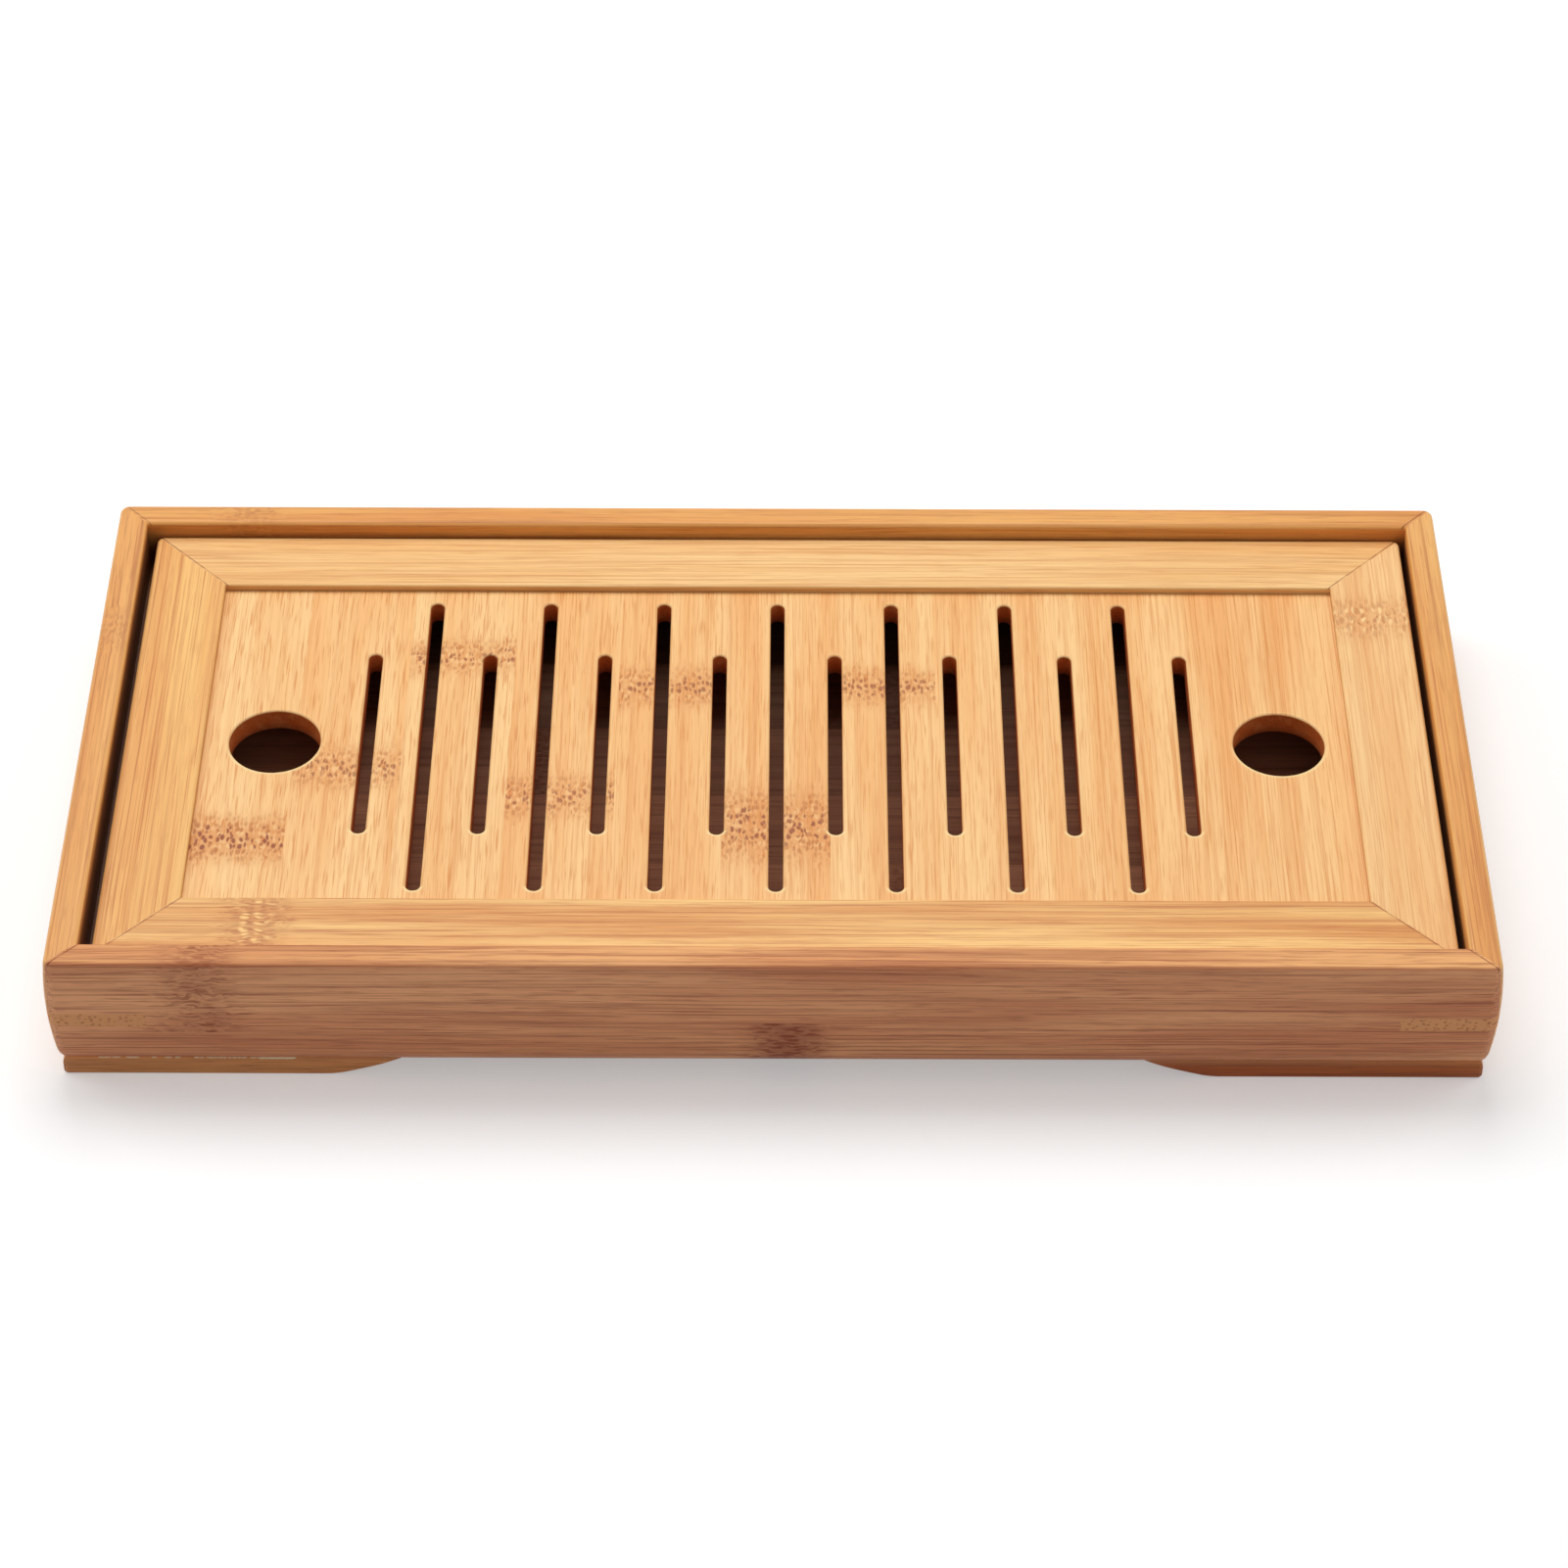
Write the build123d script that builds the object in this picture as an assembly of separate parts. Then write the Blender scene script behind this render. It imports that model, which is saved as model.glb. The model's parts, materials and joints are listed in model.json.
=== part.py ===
from build123d import *
import os

# Bamboo gongfu tea tray: a moulded rim on bracket feet, a basin floor in a groove, and a slatted lid
# that lies loose on a ledge inside the rim. The origin is under the middle of the tray, on the table.
# X runs left to right along the tray, Y from front to back, and Z up.

# Whole tray
tray_length = 270.0          # over the rim's top edges, left to right
tray_depth = 134.0           # over the rim's top edges, front to back
foot_height = 4.0
body_height = 26.0           # moulded rim alone, from the feet to its top

# Moulded rails of the rim
rim_thickness = 5.85         # lip that stands round the lid
rail_thickness = 12.0        # stock below the ledge
face_bulge = 0.8             # how far the outer face swells past its top edge
face_height = 23.0           # the swelling part of the face, down from the top
neck_inset = 1.5             # where the face ends, above the feet
rim_corner_round = 1.8       # softened upright corners, seen from above
rim_outer_round = 1.0
rim_inner_round = 1.0
ledge_round = 0.6
base_round = 0.4

# Ledge and lid
lid_recess = 3.3             # lid top below the rim top
lid_thickness = 7.5
lid_end_gap = 1.6            # play at the left and right ends of the lid
lid_side_gap = 0.35          # play along the front and back of the lid
lid_lie = 0.4                # the lid lies this far to the right in its play
lid_rail_width = 15.3
lid_corner_round = 1.5
lid_outer_round = 0.7
lid_inner_round = 0.5
lid_under_round = 0.5

# Slatted panel of the lid
panel_recess = 1.6           # panel top below the lid rails
panel_thickness = 4.6
tongue_thickness = 2.6
tongue_depth = 3.0
panel_strip_count = 11
slots_each_side = 7          # on each side of the middle slot, long and short in turn
slot_pitch_share = 0.5476    # of a strip's width, from one slot to the next
slot_width = 2.8
long_slot_margin = 3.7       # wood between a long slot and the lid rails
short_slot_margin = 19.4
finger_hole_diameter = 17.9
finger_hole_reach_share = 4.698    # of a strip's width, from the middle of the lid to a finger hole's
opening_bevel = 0.35         # broken top edge of every slot and hole

# Basin floor
floor_thickness = 4.0
floor_lip = 3.0              # wood left under the floor's groove
floor_groove_depth = 4.0
floor_strip_count = 6

# Splines across the mitred corners
key_leg = 17.2               # length of end grain that shows on each face
key_thickness = 3.3
key_drop = 12.35             # from the rim's top down to the spline

# Bracket feet
foot_face_inset = 0.8        # foot face behind the rim's top edge
foot_cove_height = 2.0
foot_long_reach = 52.0       # flat under the front and back feet, from the corner
foot_short_reach = 30.0      # flat under the side feet, from the corner
foot_toe_length = 13.2       # sloping end between the flat and the rim's underside
foot_toe_round = 24.0
foot_base_round = 0.5

# How far every cutting shape runs past what it cuts
overrun = 2.0

# Levels, from the table up
top_level = foot_height + body_height
turn_level = top_level - face_height
lid_top = top_level - lid_recess
ledge_level = lid_top - lid_thickness
panel_top = lid_top - panel_recess
panel_bottom = panel_top - panel_thickness
tongue_bottom = panel_top - tongue_thickness
floor_bottom = foot_height + floor_lip
floor_top = floor_bottom + floor_thickness

# Outside of the lid, the panel that shows between its rails, and the panel with its tongues
lid_length = tray_length - 2 * (rim_thickness + lid_end_gap)
lid_depth = tray_depth - 2 * (rim_thickness + lid_side_gap)
shown_length = lid_length - 2 * lid_rail_width
shown_depth = lid_depth - 2 * lid_rail_width
panel_length = shown_length + 2 * tongue_depth
panel_depth = shown_depth + 2 * tongue_depth

# Places along the panel, which keep their order from strip to strip at any length
panel_strip_width = panel_length / panel_strip_count
slot_pitch = panel_strip_width * slot_pitch_share
finger_hole_radius = finger_hole_diameter / 2
finger_hole_reach = panel_strip_width * finger_hole_reach_share

# Whole floor board, as far as the bottoms of its grooves
floor_length = tray_length - 2 * (rail_thickness - floor_groove_depth)
floor_depth = tray_depth - 2 * (rail_thickness - floor_groove_depth)


def block(low, high):
    """A rectangular block between two opposite corners."""
    size = Vector(high) - Vector(low)
    return Pos(low) * Box(size.X, size.Y, size.Z, align=(Align.MIN, Align.MIN, Align.MIN))


def rounded(section, corners):
    """The section with each listed corner point rounded to its own radius."""
    for point, radius in corners:
        vertex = section.vertices().sort_by_distance((point[0], point[1], 0))[0]
        section = fillet(vertex, radius)
    return section


def whole_frame(section, length, depth, corner_round):
    """A frame of this length and depth in one piece, with its upright outer corners rounded.

    The section's x is the distance in from the frame's edge and its y is the height.
    """
    front = Plane(origin=(-length / 2 + corner_round, -depth / 2, 0), x_dir=(0, 1, 0), z_dir=(1, 0, 0))
    side = Plane(origin=(-length / 2, depth / 2 - corner_round, 0), x_dir=(1, 0, 0), z_dir=(0, -1, 0))
    along = extrude(front * section, amount=length - 2 * corner_round)
    across = extrude(side * section, amount=depth - 2 * corner_round)
    height = section.bounding_box().max.Y
    skin = section & Rectangle(2 * corner_round, 2 * height)
    pivot = Axis((-length / 2 + corner_round, -depth / 2 + corner_round, 0), (0, 0, 1))
    corner = revolve(front * skin, axis=pivot, revolution_arc=-90)
    frame = along + mirror(along, about=Plane.XZ) + across + mirror(across, about=Plane.YZ)
    for solid in at_corners("{}", corner).values():
        frame = frame + solid
    return frame


def sawn_rails(frame, length, depth, reach):
    """The frame sawn through its corners into four mitred rails, by side."""
    height = frame.bounding_box().max.Z
    rails = {}
    for side, angle in (("front", 0), ("right", 90), ("back", 180), ("left", 270)):
        long_side, short_side = (length, depth) if side in ("front", "back") else (depth, length)
        outer_x, outer_y = long_side / 2 + overrun, -short_side / 2 - overrun
        inner_x, inner_y = long_side / 2 - reach - overrun, -short_side / 2 + reach + overrun
        plan = Polygon((-outer_x, outer_y), (outer_x, outer_y), (inner_x, inner_y), (-inner_x, inner_y))
        rails[side] = frame & Rot(0, 0, angle) * extrude(plan, amount=height + overrun)
    return rails


def at_corners(name, solid):
    """The front left solid and its mirror images at the other three corners, by name."""
    right = mirror(solid, about=Plane.YZ)
    return {
        name.format("front_left"): solid,
        name.format("front_right"): right,
        name.format("back_left"): mirror(solid, about=Plane.XZ),
        name.format("back_right"): mirror(right, about=Plane.XZ),
    }


def outer_face():
    """The rail's swelling outer face and the curve that turns in under it to the neck."""
    swell = SagittaArc((0, top_level), (0, turn_level), -face_bulge)
    turn_in = TangentArc((0, turn_level), (neck_inset, foot_height), tangent=swell % 1)
    return swell + turn_in


# Moulded rails: a thin lip above, thick stock below, a ledge for the lid between them and a groove
# for the floor inside.
def rim_section():
    back = Polyline(
        (neck_inset, foot_height),
        (rail_thickness, foot_height),
        (rail_thickness, ledge_level),
        (rim_thickness, ledge_level),
        (rim_thickness, top_level),
        (0, top_level),
    )
    section = rounded(make_face(outer_face() + back), [
        ((0, top_level), rim_outer_round),
        ((rim_thickness, top_level), rim_inner_round),
        ((rail_thickness, ledge_level), ledge_round),
        ((rail_thickness, foot_height), base_round),
    ])
    groove = Pos(rail_thickness - floor_groove_depth, floor_bottom) * Rectangle(
        floor_groove_depth + overrun, floor_thickness, align=(Align.MIN, Align.MIN))
    return section - groove


# Splines: a thin triangle of bamboo let into a saw cut across each mitre, flush with both faces.
def corner_spline():
    corner_x, corner_y = -tray_length / 2, -tray_depth / 2
    key_top = top_level - key_drop
    plan = Polygon(
        (corner_x - overrun, corner_y - overrun),
        (corner_x + key_leg + overrun, corner_y - overrun),
        (corner_x - overrun, corner_y + key_leg + overrun),
    )
    return Pos(0, 0, key_top - key_thickness) * extrude(plan, amount=key_thickness)


# Bracket feet: two mitred blocks under each corner, drawn in at the neck and coved out to the table,
# with the free end sloping up to the rim.
def foot_section():
    cove_level = foot_height - foot_cove_height
    cove = TangentArc((foot_face_inset, cove_level), (neck_inset, foot_height), tangent=(0, 1))
    rest = Polyline((neck_inset, foot_height), (rail_thickness, foot_height), (rail_thickness, 0),
                    (foot_face_inset, 0), (foot_face_inset, cove_level))
    return rounded(make_face(cove + rest), [((foot_face_inset, 0), foot_base_round)])


def foot_block(rail, corner, flat_reach):
    """The stretch of a rail from its corner to its sloping end. The corner plane's x runs along the rail."""
    toe_end = flat_reach + foot_toe_length
    side = Polygon((-overrun, 0), (flat_reach, 0), (toe_end, foot_height), (-overrun, foot_height))
    side = rounded(side, [((flat_reach, 0), foot_toe_round)])
    return rail & extrude(corner * side, amount=rail_thickness + overrun, both=True)


def front_left_feet():
    """The long block under the front and the short one under the side, at the front left corner."""
    frame = whole_frame(foot_section(), tray_length, tray_depth, rim_corner_round)
    rails = sawn_rails(frame, tray_length, tray_depth, rail_thickness)
    corner = (-tray_length / 2, -tray_depth / 2, 0)
    front = foot_block(rails["front"], Plane(corner, x_dir=(1, 0, 0), z_dir=(0, -1, 0)), foot_long_reach)
    side = foot_block(rails["left"], Plane(corner, x_dir=(0, 1, 0), z_dir=(1, 0, 0)), foot_short_reach)
    return front, side


# Basin floor: strips of bamboo running left to right, glued edge to edge and held in the rails' groove.
def floor_strips():
    width = floor_depth / floor_strip_count
    strips = {}
    for number in range(floor_strip_count):
        front = -floor_depth / 2 + number * width
        strips["floor_strip_%d" % (number + 1)] = block(
            (-floor_length / 2, front, floor_bottom), (floor_length / 2, front + width, floor_top))
    return strips


# Lid rails: a mitred frame with a groove for the panel's tongue.
def lid_rail_section():
    plate = Pos(0, ledge_level) * Rectangle(lid_rail_width, lid_thickness, align=(Align.MIN, Align.MIN))
    plate = rounded(plate, [
        ((0, lid_top), lid_outer_round),
        ((lid_rail_width, lid_top), lid_inner_round),
        ((0, ledge_level), lid_under_round),
    ])
    groove = Pos(lid_rail_width - tongue_depth, tongue_bottom) * Rectangle(
        tongue_depth + overrun, tongue_thickness, align=(Align.MIN, Align.MIN))
    return plate - groove


# Panel: strips running front to back, glued edge to edge, with a tongue all round, slots that let
# the water through, and a round finger hole at each end to lift the lid by.
def panel_board():
    whole_x, whole_y = panel_length / 2, panel_depth / 2
    shown_x, shown_y = shown_length / 2, shown_depth / 2
    tongue = block((-whole_x, -whole_y, tongue_bottom), (whole_x, whole_y, panel_top))
    return tongue + block((-shown_x, -shown_y, panel_bottom), (shown_x, shown_y, panel_top))


def opening_cutter(outline, bevelled_outline):
    """A straight cut through the panel with a bevelled mouth at the top."""
    through = Pos(0, 0, panel_bottom - overrun) * extrude(outline, amount=panel_thickness + 2 * overrun)
    mouth = Pos(0, 0, panel_top - opening_bevel) * extrude(bevelled_outline, amount=opening_bevel + overrun)
    mouth = chamfer(mouth.faces().sort_by(Axis.Z)[0].edges(), opening_bevel)
    return through + mouth


def slot_cutter(margin):
    length = shown_depth - 2 * margin
    wide = 2 * opening_bevel
    return opening_cutter(SlotOverall(length, slot_width, rotation=90),
                          SlotOverall(length + wide, slot_width + wide, rotation=90))


def panel_openings():
    """Every cut in the panel as its place along the lid, its half width and its cutter."""
    cutters = (slot_cutter(long_slot_margin), slot_cutter(short_slot_margin))
    hole_cutter = opening_cutter(Circle(finger_hole_radius), Circle(finger_hole_radius + opening_bevel))
    cuts = []
    for step in range(-slots_each_side, slots_each_side + 1):
        cuts.append((step * slot_pitch, slot_width / 2, cutters[step % 2]))
    for side in (-1, 1):
        cuts.append((side * finger_hole_reach, finger_hole_radius, hole_cutter))
    return cuts


def panel_strips():
    board = panel_board()
    openings = panel_openings()
    strips = {}
    for number in range(panel_strip_count):
        left = -panel_length / 2 + number * panel_strip_width
        right = left + panel_strip_width
        strip = board & block((left, -panel_depth / 2, panel_bottom), (right, panel_depth / 2, panel_top))
        for place, half_width, cutter in openings:
            reach = half_width + opening_bevel
            if left - reach < place < right + reach:
                strip = strip - Pos(place, 0, 0) * cutter
        strips["lid_strip_%02d" % (number + 1)] = strip
    return strips


# All the pieces, by the names of their files
parts = {}

rim_frame = whole_frame(rim_section(), tray_length, tray_depth, rim_corner_round)
key_slots = at_corners("corner_key_{}", corner_spline())
for side, rail in sawn_rails(rim_frame, tray_length, tray_depth, rail_thickness).items():
    for key_slot in key_slots.values():
        rail = rail - key_slot
    parts["rim_rail_" + side] = rail
for name, key_slot in key_slots.items():
    parts[name] = rim_frame & key_slot
parts.update(floor_strips())

front_foot, side_foot = front_left_feet()
parts.update(at_corners("foot_{}_long", front_foot))
parts.update(at_corners("foot_{}_short", side_foot))

lid_place = Pos(lid_lie, 0, 0)
lid_frame = whole_frame(lid_rail_section(), lid_length, lid_depth, lid_corner_round)
for side, rail in sawn_rails(lid_frame, lid_length, lid_depth, lid_rail_width).items():
    parts["lid_rail_" + side] = lid_place * rail
for name, strip in panel_strips().items():
    parts[name] = lid_place * strip

os.makedirs("parts", exist_ok=True)
for name, solid in parts.items():
    export_step(solid, os.path.join("parts", name + ".step"))
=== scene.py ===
import json
from math import radians

import bmesh
import bpy
from mathutils import Matrix, Vector

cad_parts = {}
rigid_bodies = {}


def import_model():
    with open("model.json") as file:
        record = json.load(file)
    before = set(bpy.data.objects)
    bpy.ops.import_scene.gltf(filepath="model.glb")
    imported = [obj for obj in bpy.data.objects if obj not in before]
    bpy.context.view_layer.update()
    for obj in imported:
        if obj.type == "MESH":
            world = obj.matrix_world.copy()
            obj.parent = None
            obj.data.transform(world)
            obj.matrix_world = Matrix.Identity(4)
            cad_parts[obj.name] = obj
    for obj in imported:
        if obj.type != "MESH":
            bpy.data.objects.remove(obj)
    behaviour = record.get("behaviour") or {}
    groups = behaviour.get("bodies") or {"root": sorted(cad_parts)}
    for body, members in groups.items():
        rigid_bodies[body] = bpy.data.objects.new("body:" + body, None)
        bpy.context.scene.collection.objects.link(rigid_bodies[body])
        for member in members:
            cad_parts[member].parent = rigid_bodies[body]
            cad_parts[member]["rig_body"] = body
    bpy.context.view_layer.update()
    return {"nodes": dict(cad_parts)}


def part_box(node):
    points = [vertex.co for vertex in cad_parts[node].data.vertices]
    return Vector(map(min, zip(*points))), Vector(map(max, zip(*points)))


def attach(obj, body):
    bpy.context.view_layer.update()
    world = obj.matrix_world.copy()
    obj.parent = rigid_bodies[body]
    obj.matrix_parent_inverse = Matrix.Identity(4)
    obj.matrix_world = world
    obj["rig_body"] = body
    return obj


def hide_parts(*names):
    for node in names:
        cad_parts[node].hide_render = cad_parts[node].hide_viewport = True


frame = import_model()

millimetre = 0.001


# The view: a long lens from high in front of the tray, turned and rolled by a hair, as in the photograph.
view_pitch = radians(42.685)
view_turn = radians(-0.162)
view_roll = radians(-0.081)
view_target = Vector((1.896, -17.222, 30.0)) * millimetre
view_distance = 879.386 * millimetre
picture_width = 1601.0
focal_pixels = 4661.478
sensor_width = 36.0

camera = bpy.data.objects.new("camera", bpy.data.cameras.new("camera"))
bpy.context.scene.collection.objects.link(camera)
camera.data.sensor_width = sensor_width
camera.data.lens = focal_pixels / picture_width * sensor_width
aim = Matrix.Rotation(-view_turn, 4, "Z") @ Matrix.Rotation(radians(90) - view_pitch, 4, "X")
aim = aim @ Matrix.Rotation(-view_roll, 4, "Z")
camera.matrix_world = Matrix.Translation(view_target + aim @ Vector((0, 0, view_distance))) @ aim
bpy.context.scene.camera = camera


# The table and the light: a plain pale sheet that carries the tray's shadow, under a soft lamp above and
# behind, with weaker ones at both sides and in front. Sheet and sky glow white for the eye alone, and the
# sheet more so where it is far from the tray.
sheet_half_width = 3.0
sheet_colour = (0.80, 0.80, 0.80, 1)
near_glow, far_glow = 0.34, 0.85
near_reach, far_reach = 0.35, 0.95
sky_strength = 0.24


def add_node(tree, kind, inputs, **settings):
    """A node with its settings, and each input set to a value or linked to another node's output."""
    node = tree.nodes.new(kind)
    for name, value in settings.items():
        setattr(node, name, value)
    for key, value in inputs.items():
        if isinstance(value, bpy.types.NodeSocket):
            tree.links.new(value, node.inputs[key])
        else:
            node.inputs[key].default_value = value
    return node


def only_seen(tree):
    """One for what the eye sees straight, in a gloss or through glass, and nothing for what lights."""
    path = add_node(tree, "ShaderNodeLightPath", {})
    glossy = add_node(tree, "ShaderNodeMath", {0: path.outputs["Is Camera Ray"],
                                               1: path.outputs["Is Glossy Ray"]}, operation="MAXIMUM")
    return add_node(tree, "ShaderNodeMath", {0: glossy.outputs[0], 1: path.outputs["Is Transmission Ray"]},
                    operation="MAXIMUM").outputs[0]


def empty_material(name):
    """A material with no nodes in it yet, and its tree."""
    material = bpy.data.materials.new(name)
    material.use_nodes = True
    material.node_tree.nodes.clear()
    return material, material.node_tree


def white_sheet():
    """Matt white, with a glow that grows from near the tray to far off."""
    material, tree = empty_material("white_sheet")
    matt = add_node(tree, "ShaderNodeBsdfDiffuse", {"Color": sheet_colour})
    where = add_node(tree, "ShaderNodeTexCoord", {}).outputs["Object"]
    reach = add_node(tree, "ShaderNodeVectorMath", {0: where}, operation="LENGTH").outputs["Value"]
    wanted = add_node(tree, "ShaderNodeMapRange", {
        "Value": reach, "From Min": near_reach, "From Max": far_reach, "To Min": near_glow,
        "To Max": far_glow}).outputs[0]
    strength = add_node(tree, "ShaderNodeMath", {0: only_seen(tree), 1: wanted}, operation="MULTIPLY")
    glow = add_node(tree, "ShaderNodeEmission", {"Strength": strength.outputs[0]})
    both = add_node(tree, "ShaderNodeAddShader", {0: matt.outputs[0], 1: glow.outputs[0]})
    add_node(tree, "ShaderNodeOutputMaterial", {"Surface": both.outputs[0]})
    return material


def soft_lamp(name, place, width, watts):
    """A square lamp that points at the middle of the tray."""
    lamp = bpy.data.objects.new(name, bpy.data.lights.new(name, "AREA"))
    bpy.context.scene.collection.objects.link(lamp)
    lamp.data.size = width
    lamp.data.energy = watts
    lamp.location = place
    lamp.rotation_euler = (-Vector(place)).to_track_quat("-Z", "Y").to_euler()


sheet_mesh = bpy.data.meshes.new("sheet")
sheet_corners = [(x * sheet_half_width, y * sheet_half_width, 0)
                 for x, y in ((-1, -1), (1, -1), (1, 1), (-1, 1))]
sheet_mesh.from_pydata(sheet_corners, [], [(0, 1, 2, 3)])
sheet_mesh.materials.append(white_sheet())
sheet = bpy.data.objects.new("sheet", sheet_mesh)
bpy.context.scene.collection.objects.link(sheet)

soft_lamp("lamp_left", place=(-1.0, 0.40, 0.90), width=0.9, watts=5.2)
soft_lamp("lamp_right", place=(1.0, 0.30, 0.90), width=0.9, watts=3.7)
soft_lamp("lamp_above", place=(-0.10, 0.50, 1.10), width=0.7, watts=7.2)
soft_lamp("lamp_front", place=(0.35, -1.1, 0.75), width=0.8, watts=0.9)

sky = bpy.data.worlds.new("sky")
bpy.context.scene.world = sky
sky.use_nodes = True
sky_tree = sky.node_tree
sky_tree.nodes.clear()
sky_glow = add_node(sky_tree, "ShaderNodeMapRange", {"Value": only_seen(sky_tree), "To Min": sky_strength,
                                                     "To Max": 1.0})
sky_light = add_node(sky_tree, "ShaderNodeBackground", {"Color": (1, 1, 1, 1),
                                                        "Strength": sky_glow.outputs[0]})
add_node(sky_tree, "ShaderNodeOutputWorld", {"Surface": sky_light.outputs[0]})
bpy.context.scene.view_settings.view_transform = "Standard"


# Rim rails: four lengths of moulded bamboo, mitred at the corners, with a lip round the lid, a ledge
# that it lies on and a groove for the floor. Each is milled from one glued-up stick, sanded and
# rubbed with clear varnish, so its fibres run the whole length and cross at each knuckle of the cane.
def maths(tree):
    """A function that adds a Math node to this tree and gives its result."""
    def math(operation, *values):
        return add_node(tree, "ShaderNodeMath", dict(enumerate(values)), operation=operation).outputs[0]
    return math


def ramp(tree, value, low, high, to_low=0.0, to_high=1.0, shape="LINEAR"):
    """A step from one number to another as the value goes from low to high."""
    return add_node(tree, "ShaderNodeMapRange", {"Value": value, "From Min": low, "From Max": high,
                                                 "To Min": to_low, "To Max": to_high},
                    interpolation_type=shape).outputs[0]


def blended(tree, share, under, over, blend="MIX"):
    """One colour laid over another."""
    first_colour, second_colour, result = 6, 7, 2
    return add_node(tree, "ShaderNodeMix", {"Factor": share, first_colour: under, second_colour: over},
                    data_type="RGBA", blend_type=blend).outputs[result]


def bamboo_figure():
    """The figure of glued bamboo, as a group of nodes that every piece shares.

    Place is in millimetres, with x along the fibres. Each share runs from none to full.
    """
    tree = bpy.data.node_groups.new("bamboo_figure", "ShaderNodeTree")
    sockets = {"Vector": ("Place",),
               "Color": ("Pale", "Body", "Dark", "Speck", "End", "Edge", "Stained"),
               "Float": ("Seed", "End Grain", "Wear And Highlight", "Seam", "Stain", "Streak Share", "Hairline Share",
                         "Dash Share", "Knuckle", "Second Knuckle", "First Above", "Second Below",
                         "Knuckle Width", "Knuckle Share", "Second Share", "Mark Length", "Speck Share",
                         "Cell Share", "Dot Size")}
    for kind, names in sockets.items():
        for name in names:
            tree.interface.new_socket(name, in_out="INPUT", socket_type="NodeSocket" + kind)
    for name, kind in (("Colour", "Color"), ("Roughness", "Float"), ("Height", "Float")):
        tree.interface.new_socket(name, in_out="OUTPUT", socket_type="NodeSocket" + kind)
    given = tree.nodes.new("NodeGroupInput").outputs
    math = maths(tree)

    def vector(operation, *values):
        return add_node(tree, "ShaderNodeVectorMath", dict(enumerate(values)), operation=operation).outputs[0]

    def rise(value, low, high, to_low=0.0, to_high=1.0):
        """A soft step from one number to another as the value goes from low to high."""
        return ramp(tree, value, low, high, to_low, to_high, "SMOOTHSTEP")

    def fibres(place, along, across, detail, shift=0.0):
        """Noise drawn out along the fibres, with so many changes a millimetre each way."""
        stretched = vector("MULTIPLY", place, (along, across, across))
        moved = vector("ADD", stretched, (shift, shift, shift))
        return add_node(tree, "ShaderNodeTexNoise", {"Vector": moved, "Scale": 1.0, "Detail": detail,
                                                     "Roughness": 0.55}).outputs["Fac"]

    def mixed(share, under, over):
        return blended(tree, share, under, over)

    # Each seed is a piece of its own cane: it starts somewhere else in the noise
    steps_of_seed = (91.7, 37.3, 53.9)
    start = add_node(tree, "ShaderNodeCombineXYZ", {
        axis: math("MULTIPLY", given["Seed"], step) for axis, step in enumerate(steps_of_seed)}).outputs[0]
    own_place = vector("ADD", given["Place"], start)
    along, _, level = add_node(tree, "ShaderNodeSeparateXYZ", {0: given["Place"]}).outputs

    # A knuckle is a ragged band across the fibres, which are thrown about near it. In a stick glued up
    # of layers, the first one may keep to the layers above a level and the second to those below one.
    raggedness, other_layer = 7.0, 60.0
    ragged = fibres(own_place, along=0.02, across=0.55, detail=2)
    ragged = math("MULTIPLY", math("SUBTRACT", ragged, 0.5), raggedness)

    def from_knuckle(knuckle, past_layer):
        """How far off a knuckle a spot lies, and much further where it is in another layer."""
        off = math("ABSOLUTE", math("ADD", math("SUBTRACT", along, knuckle), ragged))
        return math("ADD", off, rise(past_layer, -0.4, 0.9, 0.0, other_layer))

    from_first = from_knuckle(given["Knuckle"], math("SUBTRACT", given["First Above"], level))
    from_second = from_knuckle(given["Second Knuckle"], math("SUBTRACT", level, given["Second Below"]))
    distance = math("DIVIDE", math("MINIMUM", from_first, from_second), given["Knuckle Width"])
    share = math("MULTIPLY_ADD", math("LESS_THAN", from_second, from_first),
                 math("SUBTRACT", given["Second Share"], given["Knuckle Share"]), given["Knuckle Share"])
    near_knuckle = rise(distance, 1.0, 10.0, 1.0, 0.0)
    in_knuckle = rise(distance, 2.2, 5.6, 1.0, 0.0)

    # The fibres drift a little over their whole length, and are thrown aside at a knuckle
    drift_width, throw_width = 2.4, 2.0
    drift = fibres(own_place, along=0.008, across=0.06, detail=1, shift=3.0)
    drift = math("MULTIPLY", math("SUBTRACT", drift, 0.5), drift_width)
    throw = fibres(own_place, along=0.30, across=0.45, detail=1, shift=7.0)
    throw = math("MULTIPLY", math("SUBTRACT", throw, 0.5), near_knuckle)
    aside = math("MULTIPLY_ADD", throw, throw_width, drift)
    bend = add_node(tree, "ShaderNodeCombineXYZ", {0: 0.0, 1: aside, 2: aside}).outputs[0]
    flow = vector("ADD", own_place, bend)

    # Broad tones, streaks, hairlines and short dashes run along the fibres
    tone = fibres(flow, along=0.008, across=0.11, detail=2)
    streak = fibres(flow, along=0.011, across=0.85, detail=3, shift=11.0)
    hairline = fibres(flow, along=0.014, across=3.1, detail=2, shift=23.0)
    pale_line = fibres(flow, along=0.020, across=2.4, detail=2, shift=31.0)
    dash = rise(fibres(flow, along=0.12, across=3.4, detail=1, shift=41.0), 0.53, 0.70)
    dash_share = math("MULTIPLY_ADD", near_knuckle, math("MULTIPLY", share, 0.5), given["Dash Share"])

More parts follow.
